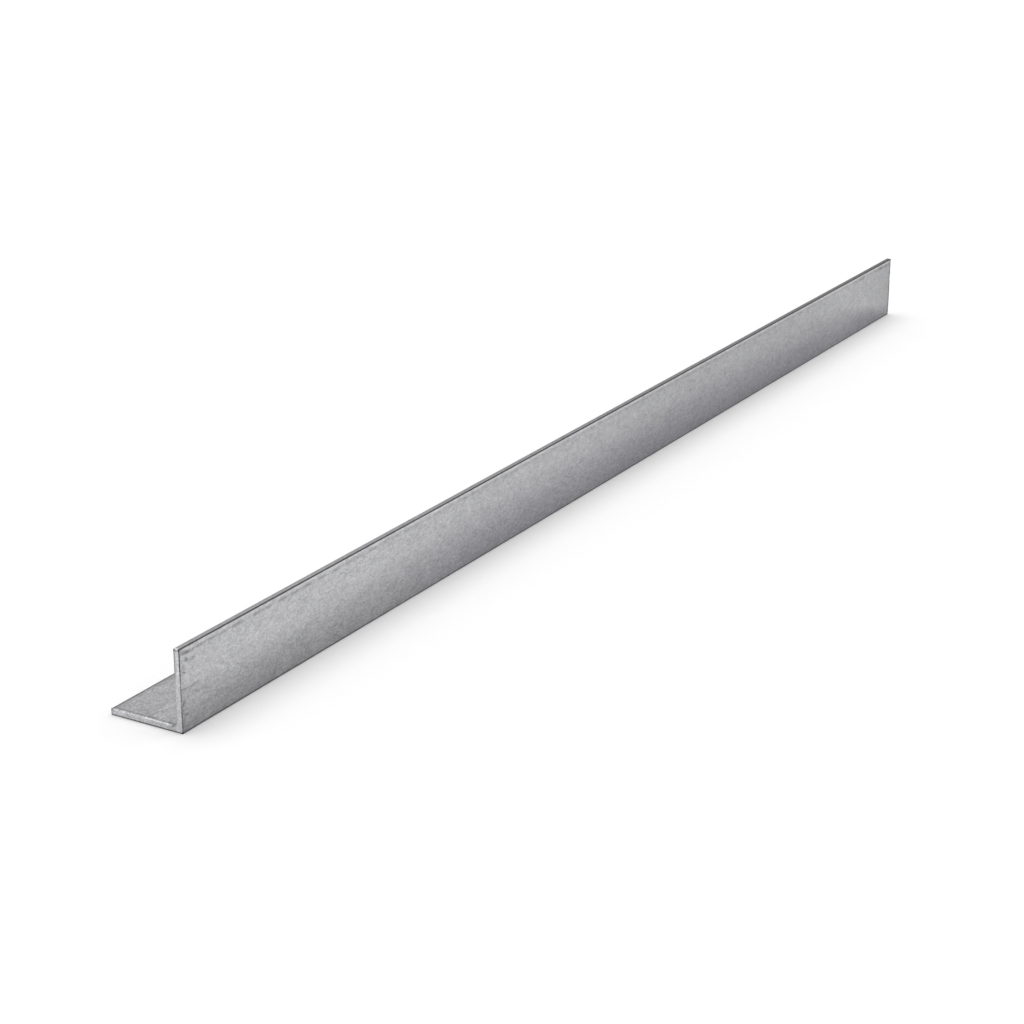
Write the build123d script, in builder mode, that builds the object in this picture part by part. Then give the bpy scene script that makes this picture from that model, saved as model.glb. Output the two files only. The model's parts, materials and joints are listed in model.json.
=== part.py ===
from build123d import *
import os

# Equal angle section: one cut length of L-shaped steel stock, in millimetres.
#
# +X runs along the bar and +Z is up. One leg lies flat on z = 0, and the other
# stands on its -Y edge. The origin is under the middle of the bar.

# Length of the bar between its sawn ends
length = 1000.0

# Outside size of each leg, and the wall that both share
standing_leg = 50.0
lying_leg = 50.0
wall = 4.0

# Fillet in the inside corner, where the rolled legs meet
root_radius = 3.0

# Rounding of the outside corner, and of both edges of each leg's free end
heel_radius = 0.6
toe_radius = 0.6

# Deburred edge round each sawn end
end_break = 0.3

# Corners of the section as (y, z) points
back_y = -lying_leg / 2
toe_y = lying_leg / 2
heel = (back_y, 0)
lying_toe_under = (toe_y, 0)
lying_toe_top = (toe_y, wall)
root = (back_y + wall, wall)
standing_toe_inside = (back_y + wall, standing_leg)
standing_toe_outside = (back_y, standing_leg)

with BuildPart() as angle_section:
    with BuildSketch(Plane.YZ.offset(-length / 2)) as section:
        with BuildLine():
            Polyline(
                heel,
                lying_toe_under,
                lying_toe_top,
                root,
                standing_toe_inside,
                standing_toe_outside,
                close=True,
            )
        make_face()
        fillet(section.vertices().sort_by_distance(root)[0], radius=root_radius)
        fillet(section.vertices().sort_by_distance(heel)[0], radius=heel_radius)
        fillet(section.vertices().group_by(Axis.X)[-1], radius=toe_radius)
        fillet(section.vertices().group_by(Axis.Y)[-1], radius=toe_radius)
    extrude(amount=length)

    # The saw's burr is taken off all the way round both ends
    sawn_ends = angle_section.faces().filter_by(Axis.X)
    chamfer(sawn_ends.edges(), length=end_break)

angle_section.part.label = "angle_section"

os.makedirs("parts", exist_ok=True)
export_step(angle_section.part, "parts/angle_section.step")
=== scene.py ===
import json
import math

import bpy
import numpy as np
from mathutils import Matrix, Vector, noise


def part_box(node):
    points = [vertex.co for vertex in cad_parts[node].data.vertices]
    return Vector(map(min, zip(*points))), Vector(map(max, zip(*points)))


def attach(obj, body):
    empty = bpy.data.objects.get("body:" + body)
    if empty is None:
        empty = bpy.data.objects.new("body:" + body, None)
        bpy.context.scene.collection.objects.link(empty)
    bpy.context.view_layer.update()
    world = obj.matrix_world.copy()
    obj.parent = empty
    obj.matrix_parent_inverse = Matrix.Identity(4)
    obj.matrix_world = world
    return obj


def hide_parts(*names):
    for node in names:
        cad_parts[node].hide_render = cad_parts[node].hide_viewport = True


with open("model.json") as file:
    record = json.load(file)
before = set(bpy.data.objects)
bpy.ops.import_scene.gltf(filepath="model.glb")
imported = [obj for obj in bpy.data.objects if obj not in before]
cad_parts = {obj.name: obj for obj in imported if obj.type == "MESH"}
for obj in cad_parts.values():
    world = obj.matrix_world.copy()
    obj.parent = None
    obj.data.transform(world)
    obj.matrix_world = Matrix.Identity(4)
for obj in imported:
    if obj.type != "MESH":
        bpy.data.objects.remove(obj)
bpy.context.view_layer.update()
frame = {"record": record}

# A one metre length of hot-dip galvanised steel angle, lying on one leg with its heel towards
# the camera. One mesh stands for the bar: the rolled section with its true corners, the zinc's
# slight unevenness, the sawn ends and the burr that the saw left. Lengths are in metres, and
# MM turns a real size in millimetres into one.

MM = 0.001

# ---------------------------------------------------------------- sizes from the frame

LOW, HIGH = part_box("angle_section")
MOUNTS = {mount["name"]: mount["pos_m"] for mount in frame["record"]["mounts"]}
LENGTH = HIGH.x - LOW.x
LEG = HIGH.z - LOW.z
WALL = MOUNTS["seat_on_lying_leg"][2] - LOW.z

# ---------------------------------------------------------------- the rolled section

ROOT_RADIUS = 3.0 * MM       # inside corner
ARRIS_RADIUS = 0.6 * MM      # heel and both toes
END_BREAK = 0.3 * MM         # arris knocked off at both sawn ends
BREAK_MIDDLE = 0.09 * MM     # how far from both faces the end break is at its middle

TOE_SEGMENTS = 4
CORNER_SEGMENTS = 8          # heel and root have as many, so that the end faces are a grid
STANDING_CELLS = 44
LYING_CELLS = 26
CROWDING = 0.55              # 0 spaces the points of a flat evenly, 1 gathers them beside the arcs
ACROSS_WALL = (0.0, 0.08, 0.3, 0.5, 0.7, 0.92, 1.0)


def arc(centre, radius, start, sweep, segments):
    """Points of an arc in the section's (y, z) plane, with its angles in degrees."""
    turn = np.radians(start + sweep * np.linspace(0, 1, segments + 1))
    return np.c_[centre[0] + radius * np.cos(turn), centre[1] + radius * np.sin(turn)]


def flat(start, end, cells):
    """Points between two arcs, closer together beside the arcs."""
    even = np.linspace(0, 1, cells + 1)[1:-1]
    eased = even - CROWDING * np.sin(2 * np.pi * even) / (2 * np.pi)
    return start + eased[:, None] * (end - start)


def chain(arcs, cells):
    """Joins arcs into one open run of points, with a flat between each pair."""
    run = [arcs[0]]
    for before, after, count in zip(arcs, arcs[1:], cells):
        run += [flat(before[-1], after[0], count), after]
    return np.concatenate(run)


def section(inset):
    """The L's outer and inner side as equally long runs, from the standing toe to the lying toe."""
    y0, y1 = LOW.y + inset, HIGH.y - inset
    z0, z1 = LOW.z + inset, HIGH.z - inset
    yi, zi = LOW.y + WALL - inset, LOW.z + WALL - inset
    toe, root = ARRIS_RADIUS - inset, ROOT_RADIUS + inset
    cells = (STANDING_CELLS, LYING_CELLS)
    outer = chain([
        arc((y0 + toe, z1 - toe), toe, 90, 90, TOE_SEGMENTS),
        arc((y0 + toe, z0 + toe), toe, 180, 90, CORNER_SEGMENTS),
        arc((y1 - toe, z0 + toe), toe, 270, 90, TOE_SEGMENTS),
    ], cells)
    inner = chain([
        arc((yi - toe, z1 - toe), toe, 90, -90, TOE_SEGMENTS),
        arc((yi + root, zi + root), root, 180, 90, CORNER_SEGMENTS),
        arc((y1 - toe, zi - toe), toe, 90, -90, TOE_SEGMENTS),
    ], cells)
    return outer, inner


def ring(inset):
    """The section's closed loop of (y, z) points and its outward normals."""
    outer, inner = section(inset)
    across = np.array(ACROSS_WALL[1:-1])[:, None]
    lying_toe = outer[-1] + across * (inner[-1] - outer[-1])
    standing_toe = inner[0] + (1 - across[::-1]) * (outer[0] - inner[0])
    loop = np.concatenate([outer, lying_toe, inner[::-1], standing_toe])
    along = np.roll(loop, -1, 0) - np.roll(loop, 1, 0)
    along /= np.linalg.norm(along, axis=1)[:, None]
    return loop, np.c_[along[:, 1], -along[:, 0]]


def stations():
    """Places of the rings along half of the bar, from its end, close together near the end."""
    first_step, growth, longest_step = 0.5 * MM, 1.17, 3.0 * MM
    places, step = [END_BREAK], first_step
    while step < longest_step:
        places.append(places[-1] + step)
        step *= growth
    rest = LENGTH / 2 - places[-1]
    count = round(rest / longest_step)
    return np.concatenate([places, places[-1] + rest * np.arange(1, count + 1) / count])


# ---------------------------------------------------------------- relief

WAVE_DEPTH = 0.05 * MM       # the rolled faces are flat to about this
WAVE_SIZE = (70 * MM, 26 * MM, 26 * MM)
LUMP_DEPTH = 0.02 * MM       # thick and thin zinc
LUMP_SIZE = 5 * MM
SAW_REACH = 1.2 * MM         # chips and burr fade out over this length from a sawn end
CHIP_DEPTH = 0.45 * MM       # chips along the sawn arris of the outer face, at the deepest
CHIP_SIZE = 1.7 * MM
BURR_HEIGHT = 0.30 * MM      # burr over the lying leg's end, times the two shares below
BURR_EVEN, BURR_UNEVEN = 0.65, 0.6     # what is there all along, and what comes and goes
BURR_SIZE = 3.2 * MM
ON_FACE = END_BREAK + 0.1 * MM     # a sawn edge's points are this near to their face


def field(x, y, z, size, seed=0.0):
    """Smooth noise from about -1 to 1 with features of one size, or of one size per axis."""
    sx, sy, sz = size if isinstance(size, tuple) else (size, size, size)
    return noise.noise(Vector((x / sx + seed, y / sy - seed, z / sz + 2 * seed)))


def dip(x, y, z):
    """How far the zinc lies under the true section: never above it."""
    wave = field(x, y, z, WAVE_SIZE, seed=3.1)
    lump = field(x, y, z, LUMP_SIZE, seed=7.7)
    return WAVE_DEPTH * 0.5 * (1 + wave) + LUMP_DEPTH * 0.5 * (1 + lump)


def end_ring(loop, normals, from_end, at_near_end):
    """Chips and burr on one of the rings next to a sawn end: shifts of its points in (y, z)."""
    shift = np.zeros_like(loop)
    fade = max(0.0, 1 - from_end / SAW_REACH)
    chip_seed = 5.5 if at_near_end else 8.5
    for i, (y, z) in enumerate(loop):
        on_outer_face = y < LOW.y + ON_FACE
        if on_outer_face:
            chip = max(0.0, field(0, 0, z, CHIP_SIZE, chip_seed))
            shift[i] = -normals[i] * CHIP_DEPTH * chip * fade
        on_seat = abs(z - LOW.z - WALL) < ON_FACE and y > LOW.y + WALL
        if on_seat and at_near_end:
            height = BURR_EVEN + BURR_UNEVEN * field(0, y, 0, BURR_SIZE, seed=1.5)
            shift[i] = Vector((0, BURR_HEIGHT * max(0.0, height) * fade))
    return shift


def build_angle():
    """The bar as one closed mesh of quads."""
    insets = [(0.0, END_BREAK), (BREAK_MIDDLE, BREAK_MIDDLE)]
    insets += [(place, 0.0) for place in stations()]
    near = [(LOW.x + place, inset, place, True) for place, inset in insets]
    far = [(HIGH.x - place, inset, place, False) for place, inset in insets[-2::-1]]
    rings = near + far

    loops = {inset: ring(inset) for _, inset, _, _ in rings}
    points = []
    for x, inset, from_end, at_near_end in rings:
        loop, normals = loops[inset]
        depth = np.array([dip(x, y, z) for y, z in loop])[:, None]
        moved = loop - normals * depth
        if from_end < SAW_REACH:
            moved = moved + end_ring(loop, normals, from_end, at_near_end)
        points.append(np.c_[np.full(len(loop), x), moved])
    per_ring = len(points[0])
    points = np.concatenate(points)

    faces = []
    for i in range(len(rings) - 1):
        a, b = i * per_ring, (i + 1) * per_ring
        for j in range(per_ring):
            k = (j + 1) % per_ring
            faces.append((a + j, a + k, b + k, b + j))
    near_points, near_faces = end_face(points[:per_ring], 0, len(points), False)
    far_start = (len(rings) - 1) * per_ring
    far_free = len(points) + len(near_points)
    far_points, far_faces = end_face(points[far_start:], far_start, far_free, True)
    points = np.concatenate([points, near_points, far_points])
    faces += near_faces + far_faces

    mesh = bpy.data.meshes.new("angle_section")
    mesh.from_pydata(points.tolist(), [], faces)
    mesh.polygons.foreach_set("use_smooth", [True] * len(mesh.polygons))
    mesh.update()
    angle = bpy.data.objects.new("galvanised_angle", mesh)
    bpy.context.scene.collection.objects.link(angle)
    return angle


def end_face(rim, rim_start, free_start, faces_far):
    """
    A sawn end as a grid of rungs from the outer to the inner side. Its rim is the ring whose
    points start at rim_start, and its own points start at free_start.
    """
    rungs = len(section(0.0)[0])
    cells = len(ACROSS_WALL) - 1
    outer = list(range(rungs))
    lying_toe = list(range(rungs, rungs + cells - 1))
    inner = list(range(2 * rungs + cells - 2, rungs + cells - 2, -1))
    standing_toe = list(range(2 * rungs + 2 * cells - 3, 2 * rungs + cells - 2, -1))
    # both toes run from the outer side to the inner side, like every rung
    grid, fresh = [], []
    for i in range(rungs):
        row = [rim_start + outer[i]]
        if i == 0:
            row += [rim_start + k for k in standing_toe]
        elif i == rungs - 1:
            row += [rim_start + k for k in lying_toe]
        else:
            for share in ACROSS_WALL[1:-1]:
                place = rim[outer[i]] + share * (rim[inner[i]] - rim[outer[i]])
                row.append(free_start + len(fresh))
                fresh.append(place)
        row.append(rim_start + inner[i])
        grid.append(row)
    faces = []
    for above, below in zip(grid, grid[1:]):
        for j in range(cells):
            quad = (above[j], above[j + 1], below[j + 1], below[j])
            faces.append(quad[::-1] if faces_far else quad)
    return np.array(fresh), faces


# ---------------------------------------------------------------- node trees

class Graph:
    """Short calls that build one node tree; a value is a number, a tuple or a node's output."""

    def __init__(self, tree):
        self.tree = tree

    def feed(self, socket, value):
        if isinstance(value, bpy.types.NodeSocket):
            self.tree.links.new(value, socket)
        else:
            socket.default_value = value

    def node(self, kind, settings, inputs):
        made = self.tree.nodes.new("ShaderNode" + kind)
        for name, value in settings.items():
            setattr(made, name, value)
        for key, value in inputs.items():
            self.feed(made.inputs[key], value)
        return made

    def math(self, operation, *values):
        inputs = dict(enumerate(values))
        return self.node("Math", {"operation": operation}, inputs).outputs[0]

    def vector(self, operation, *values):
        inputs = dict(enumerate(values))
        return self.node("VectorMath", {"operation": operation}, inputs).outputs

    def scaled(self, vector, factor):
        inputs = {0: vector, "Scale": factor}
        return self.node("VectorMath", {"operation": "SCALE"}, inputs).outputs[0]

    def split(self, vector):
        return self.node("SeparateXYZ", {}, {0: vector}).outputs

    def plane(self, across, up):
        """A place on a face, from its distances along two directions of the face."""
        return self.node("CombineXYZ", {}, {0: across, 1: up}).outputs[0]

    def plus(self, *values):
        total = values[0]
        for value in values[1:]:
            total = self.math("ADD", total, value)
        return total

    def less(self, value, taken):
        return self.math("SUBTRACT", value, taken)

    def times(self, *values):
        product = values[0]
        for value in values[1:]:
            product = self.math("MULTIPLY", product, value)
        return product

    def either(self, a, b):
        """The larger of two masks."""
        return self.math("MAXIMUM", a, b)

    def rise(self, value, start, end):
        """0 before start, 1 after end; start may be the higher one, for a fall."""
        settings = {"interpolation_type": "SMOOTHSTEP", "clamp": False}
        span = {0: value, 1: start, 2: end, 3: 0.0, 4: 1.0}
        return self.node("MapRange", settings, span).outputs[0]

    def band(self, value, centre, half_width, edge):
        """1 within half_width of centre, falling to 0 over edge on both sides."""
        away = self.math("ABSOLUTE", self.less(value, centre))
        return self.rise(away, half_width + edge, half_width)

    def profile(self, value, knots):
        """A smooth curve through (place, level) knots, level on both sides of them."""
        level = knots[0][1]
        for (start, low), (end, high) in zip(knots, knots[1:]):
            level = self.plus(level, self.times(self.rise(value, start, end), high - low))
        return level

    def shade(self, mask, level):
        """A factor that is level where the mask is 1 and 1 where it is 0."""
        return self.plus(1.0, self.times(mask, self.less(level, 1.0)))

    def corner(self, a, b):
        """Distance from the line where two faces meet, from the distances to both."""
        squares = self.plus(self.times(a, a), self.times(b, b))
        return self.math("SQRT", squares)

    def stroke(self, point, start, end, half_width, edge):
        """1 within half_width of the line between two places on a face, falling to 0 over edge."""
        reach = Vector((*end, 0)) - Vector((*start, 0))
        off_start = self.vector("SUBTRACT", point, (*start, 0))[0]
        shadow = self.vector("DOT_PRODUCT", off_start, reach)[1]
        share = self.times(shadow, 1 / reach.length_squared)
        share = self.math("MAXIMUM", 0.0, self.math("MINIMUM", 1.0, share))
        nearest = self.scaled(reach, share)
        away = self.vector("DISTANCE", off_start, nearest)[1]
        return self.rise(away, half_width + edge, half_width)

    def stretch(self, vector, sizes):
        """Coordinates in which features are as long as sizes along X, Y and Z."""
        return self.vector("MULTIPLY", vector, tuple(1 / size for size in sizes))[0]

    def noise(self, vector, sizes, detail=2.0, roughness=0.5, distortion=0.0):
        """Cloudy noise around 0, between about -0.5 and 0.5."""
        inputs = {"Vector": self.stretch(vector, sizes), "Scale": 1.0, "Detail": detail,
                  "Roughness": roughness, "Distortion": distortion}
        cloud = self.node("TexNoise", {}, inputs).outputs[0]
        return self.less(cloud, 0.5)


# Masks fade from 0 at the first distance to 1 at the second, in millimetres from a face.
TO_FACE = (0.5, 0.2)
TO_END = (0.25, 0.08)
PAST_WALL = (0.2, 0.6)


class Bar:
    """
    Distances and masks on the bar for its material, in millimetres. Along, depth and height are
    measured from the near end, from the outer face and from the underside.
    """

    def __init__(self, graph):
        here = graph.node("TexCoord", {}, {}).outputs["Object"]
        from_corner = graph.vector("SUBTRACT", here, LOW)[0]
        self.place = graph.scaled(from_corner, 1 / MM)
        self.along, self.depth, self.height = graph.split(self.place)
        self.leg = LEG / MM
        self.wall = WALL / MM
        self.length = LENGTH / MM

        self.below_toe = graph.less(self.leg, self.height)
        self.before_tip = graph.less(self.leg, self.depth)
        self.before_end = graph.less(self.length, self.along)
        self.off_seat = graph.math("ABSOLUTE", graph.less(self.height, self.wall))
        self.off_inner = graph.math("ABSOLUTE", graph.less(self.depth, self.wall))

        past_wall = [self.wall + distance for distance in PAST_WALL]
        self.on_outer = graph.rise(self.depth, *TO_FACE)
        self.on_toe = graph.rise(self.below_toe, *TO_FACE)
        self.above_lying_leg = graph.rise(self.height, *past_wall)
        beside_standing_leg = graph.rise(self.depth, *past_wall)
        self.on_seat = graph.times(graph.rise(self.off_seat, *TO_FACE), beside_standing_leg)
        self.on_near_end = graph.rise(self.along, *TO_END)
        self.on_far_end = graph.rise(self.before_end, *TO_END)

        self.outer_plane = graph.plane(self.along, self.height)
        self.seat_plane = graph.plane(self.along, self.depth)
        self.end_plane = graph.plane(self.depth, self.height)


# ---------------------------------------------------------------- galvanised steel

ZINC = (0.4735, 0.4740, 0.4860)
# Painted shade on the outer face towards the heel: its faintly violet tint and how dark it gets.
HEEL_SHADE_TINT = (0.476, 0.472, 0.507)    # faintly violet
HEEL_SHADE_LEVEL = 0.69
ZINC_ROUGHNESS, ROUGHNESS_SPREAD = 0.32, 0.25
BUMP_DEPTH = 0.02 * MM

# All lengths from here to the end of the material are in millimetres. A level is a factor on
# the zinc's brightness. Curves along the bar, as (along, level):
# BRIGHTNESS: the zinc's tone along the bar, partly uneven zinc and partly painted shade that
# darkens the middle and the far end.
BRIGHTNESS = (
    (180, 1.02), (320, 0.91), (430, 0.90), (540, 0.80),
    (820, 0.78), (885, 0.85), (940, 0.80), (990, 0.72),
)
GRAIN_STRENGTH = ((150, 1.0), (650, 0.82))
# TOE_LEVEL: painted shade on the standing toe's top, darker towards the far end as its reflection
# is.
TOE_LEVEL = ((300, 0.78), (600, 0.70), (800, 0.55), (970, 0.44))
# BESIDE_TOE_LEVEL: how bright the painted highlight band beside the toe is.
BESIDE_TOE_LEVEL = ((80, 1.06), (200, 1.18), (350, 1.28), (600, 1.30))
DASH_LEVEL = ((80, 0.67), (180, 0.79), (450, 0.85), (930, 0.86), (985, 0.75))
# HEEL_LEVEL: how dark the painted shade along the heel is, where the bar meets the floor.
HEEL_LEVEL = ((80, 0.34), (280, 0.42))

# Curves along the bar, as (along, distance): how far up the outer face the painted shade towards
# the heel reaches at all and at its darkest, and how far below the toe its painted highlight band
# runs.
SHADE_UP_TO = ((80, 32), (250, 42), (880, 40), (962, 20), (980, 17))
DARKEST_SHADE_UP_TO = ((10, 1), (70, 10), (958, 10), (976, 1))
LIGHT_BAND = ((250, 1.35), (500, 1.55))

# Curves over the near end, as (height, level) for its outer and inner edge and as (depth, level)
# for its lower edge and for the face of the lying leg.
OUTER_EDGE_LEVEL = ((8, 0.34), (18, 0.46), (30, 0.46), (36, 0.12))
INNER_EDGE_LEVEL = ((28, 0.92), (34, 0.42))
# LOWER_EDGE_LEVEL: how dark the painted shade along the near end's lower edge is, where it meets
# the floor.
LOWER_EDGE_LEVEL = ((28, 0.24), (38, 0.36))
LYING_END_LEVEL = ((10, 1.04), (36, 1.10))

DASH_ROW, DASH_PITCH = 3.6, 13.0     # below the toe, and from dash to dash
DASH_DRIFT = 9.0                     # radians by which the dashes may be out of step

# Marks as start, end, half width and level; the places are (along, height) on the outer face,
# (along, depth) on the seat and (depth, height) on the near end.
OUTER_MARKS = (
    ((1.0, 48.3), (6.6, 46.2), 0.8, 0.68),     # smudges beside the near toe
    ((6.6, 46.0), (12.4, 46.4), 0.5, 0.78),
    ((5.2, 42.6), (6.2, 41.8), 0.8, 0.58),
    ((6.2, 42.0), (12.9, 41.3), 0.55, 0.74),
    ((2.8, 39.0), (3.7, 37.6), 0.8, 0.82),
    ((2.1, 35.8), (4.6, 34.9), 0.35, 0.50),    # knocks
    ((8.6, 32.4), (9.2, 32.3), 0.4, 0.75),
    ((2.7, 18.8), (2.8, 18.4), 0.7, 0.64),
    ((1.9, 18.6), (1.9, 16.2), 0.3, 0.60),
    ((2.6, 10.5), (4.9, 10.5), 0.35, 0.50),
    ((1.7, 8.5), (1.7, 8.0), 0.5, 0.78),
    ((1.2, 17.0), (1.2, 2.0), 0.7, 0.86),      # duller beside the sawn edge
    ((1.4, 34.0), (1.4, 18.0), 1.1, 0.86),
    ((0.1, 26.0), (4.0, 25.9), 0.3, 0.60),     # a long curved scratch with duller zinc under it
    ((4.0, 25.9), (9.1, 25.4), 0.3, 0.68),
    ((9.1, 25.4), (15.6, 26.1), 0.3, 0.76),
    ((12.2, 21.3), (24.5, 18.6), 0.25, 0.82),
    ((0.0, 23.5), (32.0, 22.0), 2.2, 0.86),
    ((398, 26.6), (447, 25.7), 0.2, 0.85),     # scuffs half way
    ((402, 25.2), (440, 24.4), 0.2, 0.88),
    ((560, 26.4), (594, 26.0), 0.2, 0.85),
    ((730, 45.6), (745, 45.4), 0.4, 0.84),     # stains towards the far end
    ((931, 46.5), (941, 46.7), 0.9, 0.66),
    ((972, 46.7), (980, 46.7), 0.9, 0.60),
    ((984, 46.0), (990, 45.8), 0.8, 0.72),
    ((990, 29.5), (991, 27.5), 0.7, 0.76),
    ((992, 9.0), (992, 6.5), 0.7, 0.74),
)
SEAT_MARKS = (
    ((5.6, 27.6), (8.2, 26.6), 0.25, 1.24),    # light arcs from the burr inwards
    ((8.2, 26.6), (12.0, 25.2), 0.25, 1.30),
    ((11.6, 25.4), (12.4, 25.1), 0.35, 1.28),
    ((12.0, 25.2), (15.8, 23.8), 0.3, 1.26),
    ((15.8, 23.8), (22.8, 23.2), 0.3, 1.22),
    ((13.2, 27.4), (17.4, 24.4), 0.3, 1.18),
    ((17.6, 25.6), (24.2, 27.0), 0.35, 1.16),
    ((11.3, 42.0), (13.4, 39.4), 0.35, 1.15),  # light spots
    ((8.1, 39.2), (10.5, 37.5), 0.35, 1.13),
    ((9.6, 34.4), (12.8, 37.3), 0.25, 1.18),
    ((25.3, 43.2), (27.7, 45.6), 0.3, 1.16),
    ((24.8, 45.9), (29.4, 46.1), 0.4, 1.18),
    ((12.0, 44.4), (15.0, 45.4), 0.4, 1.14),
    ((35.3, 43.7), (37.6, 41.3), 1.2, 1.12),
    ((4.5, 18.6), (7.8, 18.4), 0.9, 1.10),
    ((9.9, 24.5), (13.2, 23.5), 0.3, 0.80),    # dark streaks between the arcs
    ((12.6, 26.9), (14.2, 26.0), 0.3, 0.74),
    ((16.8, 29.8), (17.8, 28.2), 0.4, 0.82),
    ((11.6, 31.3), (13.1, 32.8), 0.5, 0.76),
    ((14.5, 40.1), (16.0, 41.3), 0.3, 0.82),
    ((30.0, 40.9), (30.0, 37.8), 0.9, 0.88),
    ((23.6, 30.4), (23.8, 29.2), 1.0, 0.88),
    ((5.1, 28.9), (5.3, 28.5), 0.5, 0.66),     # pits behind the burr
    ((2.8, 43.6), (2.9, 42.8), 0.4, 0.72),
    ((2.8, 24.2), (2.9, 22.4), 0.4, 0.72),
    ((4.0, 32.0), (15.0, 31.0), 1.6, 0.93),    # broad faint streaks
    ((7.0, 43.5), (13.0, 47.0), 1.8, 0.87),
    ((4.5, 25.5), (9.5, 26.5), 2.0, 0.88),
    ((2.6, 19.0), (12.0, 19.0), 1.2, 1.07),
    ((27.0, 43.0), (37.0, 43.0), 1.5, 1.07),
    ((1.8, 7.8), (7.0, 10.0), 2.4, 0.84),      # shadow in the root
    ((1.2, 11.5), (1.0, 6.5), 0.5, 0.62),
)
END_MARKS = (
    # a painted glint on the burr's end at the root
    ((7.6, 3.7), (10.6, 3.7), 0.35, 1.50),     # the burr's end at the root, and the hook round it
    ((4.5, 5.4), (6.2, 3.6), 0.25, 0.45),
    ((6.2, 3.6), (7.6, 2.9), 0.25, 0.52),
    ((3.6, 49.6), (4.0, 48.8), 0.55, 0.32),    # dark inner corner of the toe
    ((46.5, 1.8), (47.5, 2.4), 0.4, 0.80),     # saw pits
    ((39.0, 2.4), (37.0, 2.2), 0.3, 0.74),
    ((31.0, 2.0), (28.0, 1.9), 0.3, 0.78),
)


def mottle(graph, bar):
    """Zinc's own variation, from clouds a hand wide to grains of a millimetre, as a factor."""

    def layer(strength, *shape):
        return graph.times(graph.noise(bar.place, *shape), strength)

    broad = layer(0.16, (160, 60, 60), 2.0)
    blotch = layer(0.29, (15, 9, 9), 3.0, 0.55)
    fleck = layer(0.60, (4.8, 2.6, 2.6), 2.0, 0.5, 1.0)
    grain = layer(1.10, (1.7, 1.0, 1.0), 3.0, 0.6, 0.8)
    on_seat = graph.times(bar.on_seat, 0.65)
    grain = graph.times(grain, graph.plus(graph.profile(bar.along, GRAIN_STRENGTH), on_seat))

    upright = graph.noise(bar.place, (0.9, 0.9, 4.0), 2.0, 0.6, 0.4)
    level = graph.noise(bar.place, (6.0, 0.8, 0.8), 2.0, 0.6, 0.4)
    patches = graph.rise(graph.noise(bar.place, (26, 16, 16), 2.0), -0.06, 0.06)
    upright = graph.times(upright, patches)
    level = graph.times(level, graph.less(1.0, patches))
    brushed = graph.times(graph.plus(upright, level), 0.45)
    return graph.plus(1.0, broad, blotch, fleck, grain, brushed)


def heel_painted_shade(graph, bar):
    """Painted shade on the outer face, darker towards the heel: 0 where there is none, 1 at the
    heel.
    """
    upper = graph.profile(bar.along, SHADE_UP_TO)
    lower = graph.profile(bar.along, DARKEST_SHADE_UP_TO)
    return graph.times(bar.on_outer, graph.rise(bar.height, upper, lower))


def lengthwise_lines(graph, bar):
    """Dark lines along the bar where two faces meet, as a factor; the two along the floor, at the
    heel and under the tip, are painted shade.
    """
    toe = graph.rise(graph.corner(bar.depth, bar.below_toe), 0.85, 0.5)
    back_of_toe = graph.rise(graph.corner(bar.off_inner, bar.below_toe), 1.0, 0.5)
    # painted shade where the heel meets the floor
    heel = graph.rise(graph.corner(bar.depth, bar.height), 1.4, 0.85)
    tip = graph.rise(graph.corner(bar.before_tip, bar.off_seat), 2.4, 1.2)
    # painted shade where the lying toe meets the floor
    under_tip = graph.rise(graph.corner(bar.before_tip, bar.height), 0.95, 0.5)
    return graph.times(
        graph.shade(toe, 0.22),
        graph.shade(back_of_toe, 0.50),
        graph.shade(heel, graph.profile(bar.along, HEEL_LEVEL)),
        graph.shade(tip, 0.45),
        graph.shade(under_tip, 0.3),
    )


def near_end_lines(graph, bar, broken):
    """Dark lines round the near end's faces, as a factor; the lower one, where the end meets the
    floor, is painted shade.
    """
    at_outer = graph.rise(graph.corner(bar.along, bar.depth), 0.68, 0.38)
    outer_level = graph.profile(bar.height, OUTER_EDGE_LEVEL)
    outer_level = graph.plus(outer_level, graph.times(graph.less(1.0, broken), 0.18))
    at_inner = graph.rise(graph.corner(bar.along, bar.off_inner), 1.05, 0.6)
    at_inner = graph.times(at_inner, bar.above_lying_leg)
    inner_level = graph.profile(bar.height, INNER_EDGE_LEVEL)
    # painted shade where the near end meets the floor
    at_underside = graph.rise(graph.corner(bar.along, bar.height), 1.0, 0.55)
    lower_level = graph.profile(bar.depth, LOWER_EDGE_LEVEL)
    at_tip = graph.rise(graph.corner(bar.along, bar.before_tip), 1.0, 0.5)
    under_toe = graph.times(bar.on_near_end, graph.band(bar.below_toe, 0.95, 0.2, 0.4))
    return graph.times(
        graph.shade(at_outer, outer_level),
        graph.shade(at_inner, inner_level),
        graph.shade(at_underside, lower_level),
        graph.shade(at_tip, 0.4),
        graph.shade(under_toe, 0.45),
    )


def far_end_lines(graph, bar):
    """The dark edge of the outer face at the far end, and the toe's dark corner, as a factor."""
    on_face = graph.times(bar.on_outer, graph.rise(bar.before_end, 3.0, 1.6))
    on_arris = graph.rise(graph.corner(bar.before_end, bar.depth), 0.8, 0.4)
    beside = graph.times(bar.on_outer, graph.rise(bar.before_end, 7.0, 3.0))
    at_toe = graph.rise(graph.corner(bar.before_end, bar.below_toe), 1.8, 0.8)
    return graph.times(
        graph.shade(graph.either(on_face, on_arris), 0.38),
        graph.shade(beside, 0.90),
        graph.shade(at_toe, 0.6),
    )


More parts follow.
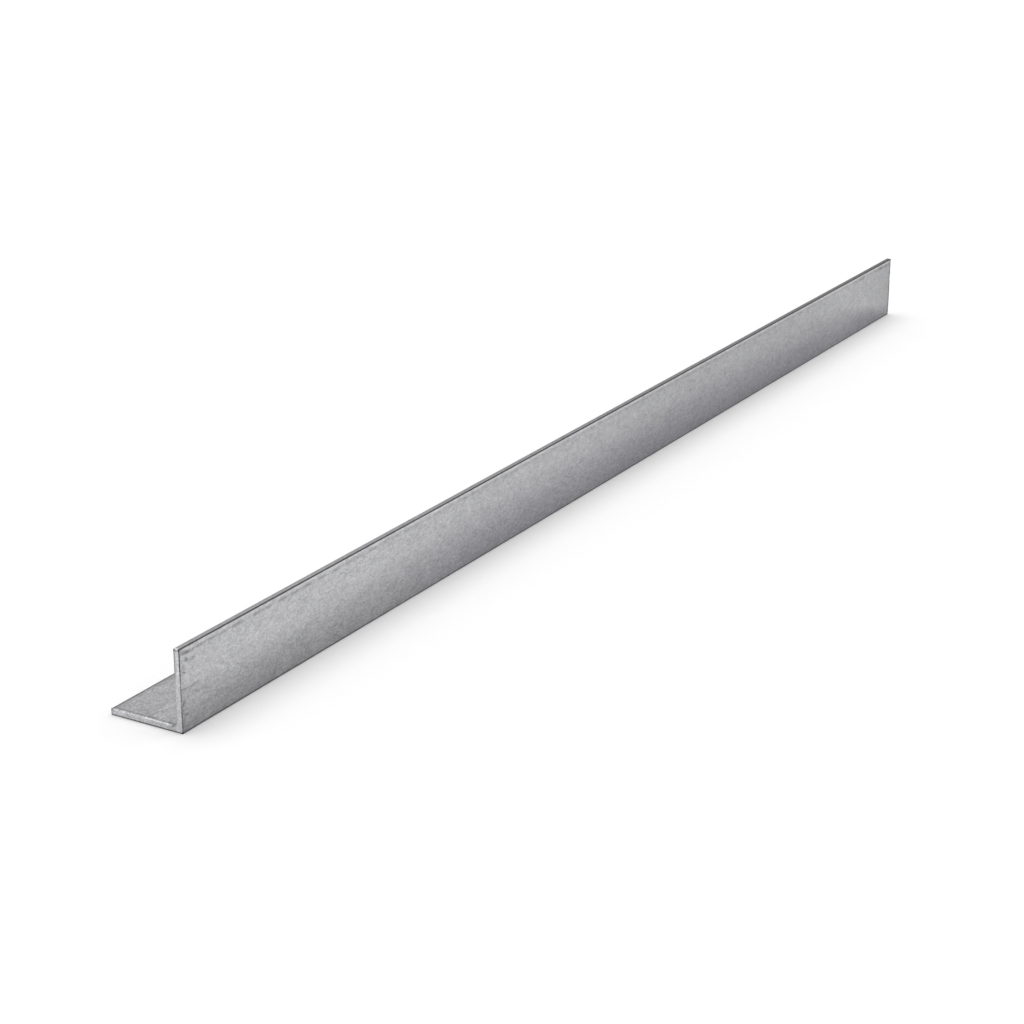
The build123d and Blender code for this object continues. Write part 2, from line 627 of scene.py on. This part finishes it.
def painted_highlights(graph, bar, wear, broken):
    """Painted highlights: a light band beside the toe, a bright line along the burr and a glint on
    the toe's near end, as a factor.
    """
    off_toe = graph.profile(bar.along, LIGHT_BAND)
    beside_toe = graph.times(bar.on_outer, graph.band(bar.below_toe, off_toe, 0.45, 0.6))
    patchy = graph.rise(wear, -0.12, 0.12)
    beside_toe = graph.times(beside_toe, graph.plus(0.6, graph.times(patchy, 0.4)))

    whole = graph.either(graph.rise(bar.depth, 31, 26), broken)
    off_root = graph.rise(bar.depth, 9.0, 11.0)
    burr = graph.rise(graph.corner(bar.along, bar.off_seat), 0.75, 0.4)
    burr = graph.times(burr, off_root, graph.plus(0.25, graph.times(whole, 0.75)))

    off_arris = graph.rise(bar.depth, 0.9, 1.4)
    toe_end = graph.times(bar.on_toe, graph.rise(bar.along, 1.7, 1.0), off_arris)
    return graph.times(
        graph.shade(beside_toe, graph.profile(bar.along, BESIDE_TOE_LEVEL)),
        graph.shade(burr, 1.56),
        graph.shade(toe_end, 1.90),
    )


def edges(graph, bar, wear):
    """Dark lines where faces meet, and painted highlights beside the toe, along the burr and on the
    toe's end.
    """
    broken = graph.rise(graph.noise(bar.place, (1.2, 1.2, 1.2), 2.0), -0.08, 0.05)
    return graph.times(
        lengthwise_lines(graph, bar),
        near_end_lines(graph, bar, broken),
        far_end_lines(graph, bar),
        # painted highlights
        painted_highlights(graph, bar, wear, broken),
    )


def seat_dulling(graph, bar):
    """The seat is a little dull, most so behind the burr and beside the tip, as a factor."""
    dashes = graph.rise(graph.noise(bar.place, (3.0, 2.4, 2.4), 2.0), -0.04, 0.08)
    behind_burr = graph.band(bar.along, 1.9, 0.3, 0.6)
    behind_burr = graph.times(behind_burr, graph.plus(0.4, graph.times(dashes, 0.6)))
    beside_tip = graph.band(bar.before_tip, 3.0, 0.8, 1.4)
    darkening = graph.times(0.91, graph.shade(behind_burr, 0.58), graph.shade(beside_tip, 0.93))
    return graph.shade(bar.on_seat, darkening)


def dash_row(graph, bar):
    """A row of dark dashes just under the standing toe, as a factor."""
    row = graph.band(bar.below_toe, DASH_ROW, 0.35, 1.15)
    drift = graph.times(graph.noise(bar.place, (30, 300, 300), 1.0), DASH_DRIFT)
    in_step = graph.times(bar.along, 2 * math.pi / DASH_PITCH)
    beat = graph.math("SINE", graph.plus(in_step, drift))
    ragged = graph.times(graph.noise(bar.place, (4.0, 30.0, 1.6), 2.0, 0.6), 2.0)
    dashes = graph.rise(graph.plus(beat, ragged), -0.5, 0.5)
    dashes = graph.plus(0.4, graph.times(dashes, 0.6))
    drawn = graph.times(bar.on_outer, row, dashes)
    return graph.shade(drawn, graph.profile(bar.along, DASH_LEVEL))


def marks(graph, bar):
    """Knocks, scratches and stains that can be told apart in the photograph, with painted shade in
    the root and a painted glint on the burr's end, as a factor.
    """
    ragged = graph.plus(0.75, graph.noise(bar.place, (1.1, 1.1, 1.1), 2.0))
    near_seat = graph.rise(bar.off_seat, 1.6, 1.2)
    factor = 1.0
    for plane, mask, strokes in (
        (bar.outer_plane, bar.on_outer, OUTER_MARKS),
        (bar.seat_plane, near_seat, SEAT_MARKS),
        (bar.end_plane, bar.on_near_end, END_MARKS),
    ):
        for start, end, half_width, level in strokes:
            edge = 0.35 + 0.5 * half_width
            drawn = graph.times(graph.stroke(plane, start, end, half_width, edge), ragged, mask)
            factor = graph.times(factor, graph.shade(drawn, level))
    return factor


def sawn_ends(graph, bar):
    """Lines of the saw up the standing leg's end and across the lying leg's, as a factor."""
    upright = graph.noise(bar.place, (9, 0.5, 7), 2.0, 0.6)
    level = graph.noise(bar.place, (9, 4.0, 0.6), 3.0, 0.65, 0.5)
    standing = graph.rise(bar.depth, bar.wall + 1.2, bar.wall - 0.4)
    standing_end = graph.plus(1.09, graph.times(upright, 0.45))
    lying_end = graph.profile(bar.depth, LYING_END_LEVEL)
    lying_end = graph.plus(lying_end, graph.times(level, 0.9))
    upper_half = graph.rise(bar.height, 31, 36)
    rubbed = graph.times(graph.band(bar.depth, 1.2, 0.5, 0.6), upper_half, 0.20)
    tone = graph.plus(
        graph.times(standing, standing_end),
        graph.times(graph.less(1.0, standing), lying_end),
        rubbed,
    )
    return graph.shade(graph.either(bar.on_near_end, bar.on_far_end), tone)


def zinc():
    """Material of the whole bar."""
    material = bpy.data.materials.new("galvanised_steel")
    material.use_nodes = True
    graph = Graph(material.node_tree)
    bar = Bar(graph)
    wear = graph.noise(bar.place, (9, 9, 9), 3.0, 0.6)
    # painted shade on the outer face, darker towards the heel
    darkening = heel_painted_shade(graph, bar)
    tone = graph.times(
        mottle(graph, bar),
        # tone along the bar, partly painted shade
        graph.profile(bar.along, BRIGHTNESS),
        # painted shade towards the heel
        graph.shade(darkening, HEEL_SHADE_LEVEL),
        # painted shade on the standing toe's top, darker towards the far end
        graph.shade(bar.on_toe, graph.profile(bar.along, TOE_LEVEL)),
        edges(graph, bar, wear),
        seat_dulling(graph, bar),
        dash_row(graph, bar),
        marks(graph, bar),
        sawn_ends(graph, bar),
    )
    # the painted shade turns faintly violet away from the near end
    violet = graph.times(darkening, graph.rise(bar.along, 60, 420))
    towards_shade_tint = graph.scaled(Vector(HEEL_SHADE_TINT) - Vector(ZINC), violet)
    colour = graph.scaled(graph.vector("ADD", ZINC, towards_shade_tint)[0], tone)
    rough = graph.plus(ZINC_ROUGHNESS, graph.times(wear, ROUGHNESS_SPREAD))
    grain = graph.noise(bar.place, (1.6, 1.6, 1.6), 3.0, 0.6)
    bump = graph.node("Bump", {}, {"Height": grain, "Distance": BUMP_DEPTH, "Strength": 1.0})
    shader = material.node_tree.nodes["Principled BSDF"]
    shader.inputs["Metallic"].default_value = 1.0
    graph.feed(shader.inputs["Base Color"], colour)
    graph.feed(shader.inputs["Roughness"], rough)
    graph.feed(shader.inputs["Normal"], bump.outputs[0])
    return material


# ---------------------------------------------------------------- floor, light and camera

FLOOR_SIZE = 60.0
FILL = 0.52                  # share of the floor's light that comes from all round
SOFTBOXES = (                # share, lean towards +X and +Y from straight above, degrees across
    (0.37, (-0.01, 0.12), 54),
    (0.14, (1.10, -0.30), 70),
)
HORIZON, OVERHEAD = 0.35, 1.0    # the room's brightness in reflections, low and high up
DUSK = (0.12, 0.5)           # sines of the heights between which it changes


def white_floor():
    """A plain white floor that reaches far beyond the picture."""
    bpy.ops.mesh.primitive_plane_add(size=FLOOR_SIZE, location=(0, 0, LOW.z))
    floor = bpy.context.object
    floor.name = "floor"
    material = bpy.data.materials.new("white_floor")
    material.use_nodes = True
    shader = material.node_tree.nodes["Principled BSDF"]
    shader.inputs["Base Color"].default_value = (1.0, 1.0, 1.0, 1.0)
    shader.inputs["Roughness"].default_value = 1.0
    shader.inputs["Specular IOR Level"].default_value = 0.0
    floor.data.materials.append(material)


def studio():
    """
    A white room and two softboxes. The camera sees the room as plain white, metal reflects it
    darker towards the horizon, and the floor gets FILL of its light from it.
    """
    world = bpy.data.worlds.new("studio")
    bpy.context.scene.world = world
    world.use_nodes = True
    world.cycles.sampling_method = "NONE"
    graph = Graph(world.node_tree)
    background = world.node_tree.nodes["Background"]
    ray = graph.node("LightPath", {}, {}).outputs
    shown = graph.either(ray["Is Camera Ray"], ray["Is Glossy Ray"])
    shown = graph.either(shown, ray["Is Transmission Ray"])
    level = graph.node("MapRange", {}, {0: shown, 3: FILL, 4: 1.0}).outputs[0]
    graph.feed(background.inputs["Strength"], level)
    direction = graph.node("TexCoord", {}, {}).outputs["Generated"]
    up = graph.split(direction)[2]
    reflected = graph.plus(HORIZON, graph.times(graph.rise(up, *DUSK), OVERHEAD - HORIZON))
    white = graph.node("MapRange", {}, {0: ray["Is Glossy Ray"], 3: 1.0, 4: reflected}).outputs[0]
    graph.feed(background.inputs["Color"], white)

    for share, lean, across in SOFTBOXES:
        lamp = bpy.data.lights.new("softbox", "SUN")
        lamp.angle = math.radians(across)
        towards = Vector((*lean, 1.0)).normalized()
        lamp.energy = share * math.pi / towards.z
        holder = bpy.data.objects.new("softbox", lamp)
        holder.rotation_mode = "QUATERNION"
        holder.rotation_quaternion = towards.to_track_quat("Z", "Y")
        holder.visible_glossy = False
        bpy.context.scene.collection.objects.link(holder)


# The camera stands a long way back, beyond the near end and on the heel's side. Its place is
# given in leg widths from the heel's near end, and its angles in degrees down and from +X.
CAMERA_PLACE = Vector((-18.352, -15.035, 11.148))
CAMERA_PITCH, CAMERA_YAW = 20.083, 30.671
FRAME_PIXELS, FOCAL_PIXELS = 1024, 2381.3
SENSOR_WIDTH = 36
SIGHT = 200                  # metres up to which the camera sees


def camera():
    """The photograph's viewing angle, without roll or shift."""
    lens = bpy.data.cameras.new("camera")
    lens.sensor_width = SENSOR_WIDTH
    lens.lens = FOCAL_PIXELS / FRAME_PIXELS * lens.sensor_width
    lens.clip_end = SIGHT
    holder = bpy.data.objects.new("camera", lens)
    holder.location = Vector(LOW) + CAMERA_PLACE * LEG
    pitch, yaw = math.radians(CAMERA_PITCH), math.radians(CAMERA_YAW)
    level = math.cos(pitch)
    ahead = Vector((math.cos(yaw) * level, math.sin(yaw) * level, -math.sin(pitch)))
    holder.rotation_mode = "QUATERNION"
    holder.rotation_quaternion = ahead.to_track_quat("-Z", "Y")
    bpy.context.scene.collection.objects.link(holder)
    bpy.context.scene.camera = holder


# ---------------------------------------------------------------- the scene

angle = build_angle()
angle.data.materials.append(zinc())
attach(angle, "root")
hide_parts("angle_section")

white_floor()
studio()
camera()
bpy.context.scene.view_settings.view_transform = "Standard"
